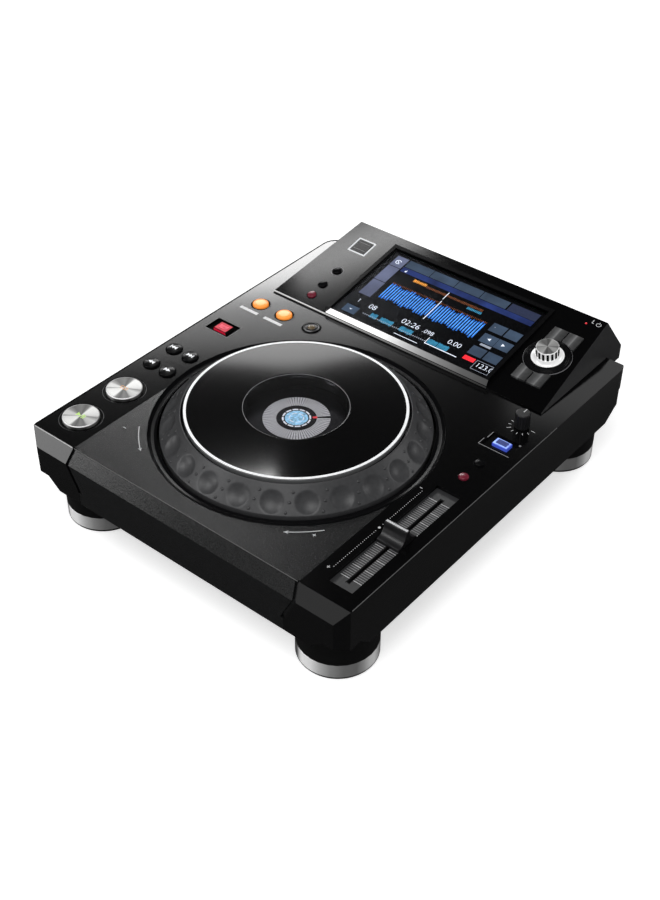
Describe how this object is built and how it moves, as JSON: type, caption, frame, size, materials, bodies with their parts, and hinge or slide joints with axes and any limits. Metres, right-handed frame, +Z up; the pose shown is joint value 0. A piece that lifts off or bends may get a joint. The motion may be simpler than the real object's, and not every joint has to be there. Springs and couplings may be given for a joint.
{
  "type": "dj media player",
  "caption": "Tabletop media player for mixing music, with a dimpled jog dial, a tilted touch screen, a tempo slider, round buttons and a push-turn selector.",
  "frame": {"origin": "on the ground under the middle of the case's width and of its overall depth", "axes": "+X to the right as the player is used, +Y from the front to the rear, +Z up"},
  "size_m": [0.306, 0.3856, 0.1095],
  "materials": {
    "case_black": "polished",
    "palm_matt": "fine texture",
    "floor_black": "satin",
    "panel_black": "satin",
    "dial_grey": "satin",
    "platter_black": "polished",
    "hidden_black": "matt",
    "foot_silver": "brushed",
    "pad_rubber": "matt",
    "clear_cover": "polished",
    "screen_dark": "polished",
    "screen_blue": "lit",
    "display_dark": "polished",
    "board_green": "matt",
    "socket_metal": "satin",
    "button_silver": "spun",
    "button_black": "polished",
    "button_red": "polished",
    "lever_red": "polished",
    "lit_orange": "lit",
    "lit_blue": "lit",
    "lit_white": "lit",
    "key_grey": "satin",
    "knob_chrome": "polished",
    "socket_black": "matt"
  },
  "bodies": {
    "case": {"top_case": "case_black", "palm_rest": "palm_matt", "bottom_case": "floor_black", "rear_panel": "panel_black", "screen_housing": "case_black", "foot_front_left": "foot_silver", "pad_front_left": "pad_rubber", "foot_front_right": "foot_silver", "pad_front_right": "pad_rubber", "foot_rear_left": "foot_silver", "pad_rear_left": "pad_rubber", "foot_rear_right": "foot_silver", "pad_rear_right": "pad_rubber", "jog_bezel": "case_black", "jog_base": "hidden_black", "jog_display": "display_dark", "lcd_frame": "screen_dark", "touch_glass": "clear_cover", "lcd_panel": "screen_blue", "panel_board": "board_green", "usb_frame": "lit_white", "usb_socket": "socket_metal", "selector_collar": "hidden_black", "tempo_fader": "socket_metal", "control_board": "board_green", "main_board": "board_green", "power_supply": "socket_metal", "power_inlet": "socket_black", "audio_jacks": "socket_black", "lan_socket": "socket_metal", "usb_b_socket": "socket_metal"},
    "jog_wheel": {"jog_dial": "dial_grey"},
    "jog_top": {"jog_platter": "platter_black", "jog_window": "clear_cover"},
    "play_push": {"play_button": "button_silver"},
    "cue_push": {"cue_button": "button_silver"},
    "search_back_push": {"search_back_button": "button_black"},
    "search_forward_push": {"search_forward_button": "button_black"},
    "track_back_push": {"track_back_button": "button_black"},
    "track_forward_push": {"track_forward_button": "button_black"},
    "direction_lever_body": {"direction_lever": "lever_red"},
    "loop_in_push": {"loop_in_button": "lit_orange"},
    "loop_out_push": {"loop_out_button": "lit_orange"},
    "loop_exit_push": {"loop_exit_button": "button_black"},
    "jog_mode_push": {"jog_mode_button": "lit_blue"},
    "tempo_range_push": {"tempo_range_button": "button_black"},
    "master_tempo_push": {"master_tempo_button": "button_red"},
    "speed_knob_body": {"speed_knob": "button_black"},
    "tempo_slider_body": {"tempo_slider": "button_black"},
    "usb_stop_push": {"usb_stop_button": "button_black"},
    "time_push": {"time_button": "button_black"},
    "quantize_push": {"quantize_button": "button_red"},
    "back_key_body": {"back_key": "key_grey"},
    "tag_key_body": {"tag_key": "key_grey"},
    "filter_key_body": {"filter_key": "key_grey"},
    "shortcut_key_body": {"shortcut_key": "key_grey"},
    "selector_shaft_body": {"selector_shaft": "socket_metal"},
    "usb_door_body": {"usb_door": "key_grey"},
    "power_push": {"power_button": "button_black"},
    "selector_knob_body": {"selector_knob": "knob_chrome"}
  },
  "joints": [
    {"name": "jog_spin", "type": "hinge", "parent": "case", "child": "jog_wheel", "pos_m": [0, -0.06005, 0.0839], "axis": [0, 0, 1], "continuous": true},
    {"name": "jog_press", "type": "slide", "parent": "jog_wheel", "child": "jog_top", "axis": [0, 0, -1], "range_m": [0, 0.0005], "stiffness_N_per_m": 8000, "springref_m": -0.001},
    {"name": "play_press", "type": "slide", "parent": "case", "child": "play_push", "axis": [0, 0, -1], "range_m": [0, 0.0015], "stiffness_N_per_m": 400, "springref_m": -0.002},
    {"name": "cue_press", "type": "slide", "parent": "case", "child": "cue_push", "axis": [0, 0, -1], "range_m": [0, 0.0015], "stiffness_N_per_m": 400, "springref_m": -0.002},
    {"name": "search_back_press", "type": "slide", "parent": "case", "child": "search_back_push", "axis": [0, 0, -1], "range_m": [0, 0.001], "stiffness_N_per_m": 400, "springref_m": -0.002},
    {"name": "search_forward_press", "type": "slide", "parent": "case", "child": "search_forward_push", "axis": [0, 0, -1], "range_m": [0, 0.001], "stiffness_N_per_m": 400, "springref_m": -0.002},
    {"name": "track_back_press", "type": "slide", "parent": "case", "child": "track_back_push", "axis": [0, 0, -1], "range_m": [0, 0.001], "stiffness_N_per_m": 400, "springref_m": -0.002},
    {"name": "track_forward_press", "type": "slide", "parent": "case", "child": "track_forward_push", "axis": [0, 0, -1], "range_m": [0, 0.001], "stiffness_N_per_m": 400, "springref_m": -0.002},
    {"name": "loop_in_press", "type": "slide", "parent": "case", "child": "loop_in_push", "axis": [0, 0, -1], "range_m": [0, 0.001], "stiffness_N_per_m": 400, "springref_m": -0.002},
    {"name": "loop_out_press", "type": "slide", "parent": "case", "child": "loop_out_push", "axis": [0, 0, -1], "range_m": [0, 0.001], "stiffness_N_per_m": 400, "springref_m": -0.002},
    {"name": "loop_exit_press", "type": "slide", "parent": "case", "child": "loop_exit_push", "axis": [0, 0, -1], "range_m": [0, 0.001], "stiffness_N_per_m": 400, "springref_m": -0.002},
    {"name": "jog_mode_press", "type": "slide", "parent": "case", "child": "jog_mode_push", "axis": [0, 0, -1], "range_m": [0, 0.001], "stiffness_N_per_m": 400, "springref_m": -0.002},
    {"name": "tempo_range_press", "type": "slide", "parent": "case", "child": "tempo_range_push", "axis": [0, 0, -1], "range_m": [0, 0.0008], "stiffness_N_per_m": 400, "springref_m": -0.002},
    {"name": "master_tempo_press", "type": "slide", "parent": "case", "child": "master_tempo_push", "axis": [0, 0, -1], "range_m": [0, 0.0008], "stiffness_N_per_m": 400, "springref_m": -0.002},
    {"name": "usb_stop_press", "type": "slide", "parent": "case", "child": "usb_stop_push", "axis": [0, 0.1997, -0.9798], "range_m": [0, 0.0008], "stiffness_N_per_m": 400, "springref_m": -0.002},
    {"name": "time_press", "type": "slide", "parent": "case", "child": "time_push", "axis": [0, 0.1997, -0.9798], "range_m": [0, 0.0008], "stiffness_N_per_m": 400, "springref_m": -0.002},
    {"name": "quantize_press", "type": "slide", "parent": "case", "child": "quantize_push", "axis": [0, 0.1997, -0.9798], "range_m": [0, 0.0008], "stiffness_N_per_m": 400, "springref_m": -0.002},
    {"name": "back_key_press", "type": "slide", "parent": "case", "child": "back_key_body", "axis": [0, 0.1997, -0.9798], "range_m": [0, 0.0008], "stiffness_N_per_m": 400, "springref_m": -0.002},
    {"name": "tag_key_press", "type": "slide", "parent": "case", "child": "tag_key_body", "axis": [0, 0.1997, -0.9798], "range_m": [0, 0.0008], "stiffness_N_per_m": 400, "springref_m": -0.002},
    {"name": "filter_key_press", "type": "slide", "parent": "case", "child": "filter_key_body", "axis": [0, 0.1997, -0.9798], "range_m": [0, 0.0008], "stiffness_N_per_m": 400, "springref_m": -0.002},
    {"name": "shortcut_key_press", "type": "slide", "parent": "case", "child": "shortcut_key_body", "axis": [0, 0.1997, -0.9798], "range_m": [0, 0.0008], "stiffness_N_per_m": 400, "springref_m": -0.002},
    {"name": "direction_slide", "type": "slide", "parent": "case", "child": "direction_lever_body", "axis": [-1, 0, 0], "range_m": [0, 0.0045]},
    {"name": "tempo_slide", "type": "slide", "parent": "case", "child": "tempo_slider_body", "axis": [0, 1, 0], "range_m": [-0.05, 0.05]},
    {"name": "speed_turn", "type": "hinge", "parent": "case", "child": "speed_knob_body", "pos_m": [0.1316, 0.04675, 0.0835], "axis": [0, 0, 1], "range_deg": [-140, 140]},
    {"name": "selector_press", "type": "slide", "parent": "case", "child": "selector_shaft_body", "axis": [0, 0.1997, -0.9798], "range_m": [0, 0.0008], "stiffness_N_per_m": 400, "springref_m": -0.002},
    {"name": "selector_turn", "type": "hinge", "parent": "selector_shaft_body", "child": "selector_knob_body", "pos_m": [0.1065, 0.11974, 0.09754], "axis": [0, -0.1997, 0.9798], "continuous": true},
    {"name": "usb_door_swing", "type": "hinge", "parent": "case", "child": "usb_door_body", "pos_m": [-0.1042, 0.15794, 0.10339], "axis": [-1, 0, 0], "range_deg": [0, 95]},
    {"name": "power_press", "type": "slide", "parent": "case", "child": "power_push", "axis": [0, -1, 0], "range_m": [0, 0.0025], "stiffness_N_per_m": 300, "springref_m": -0.002}
  ]
}
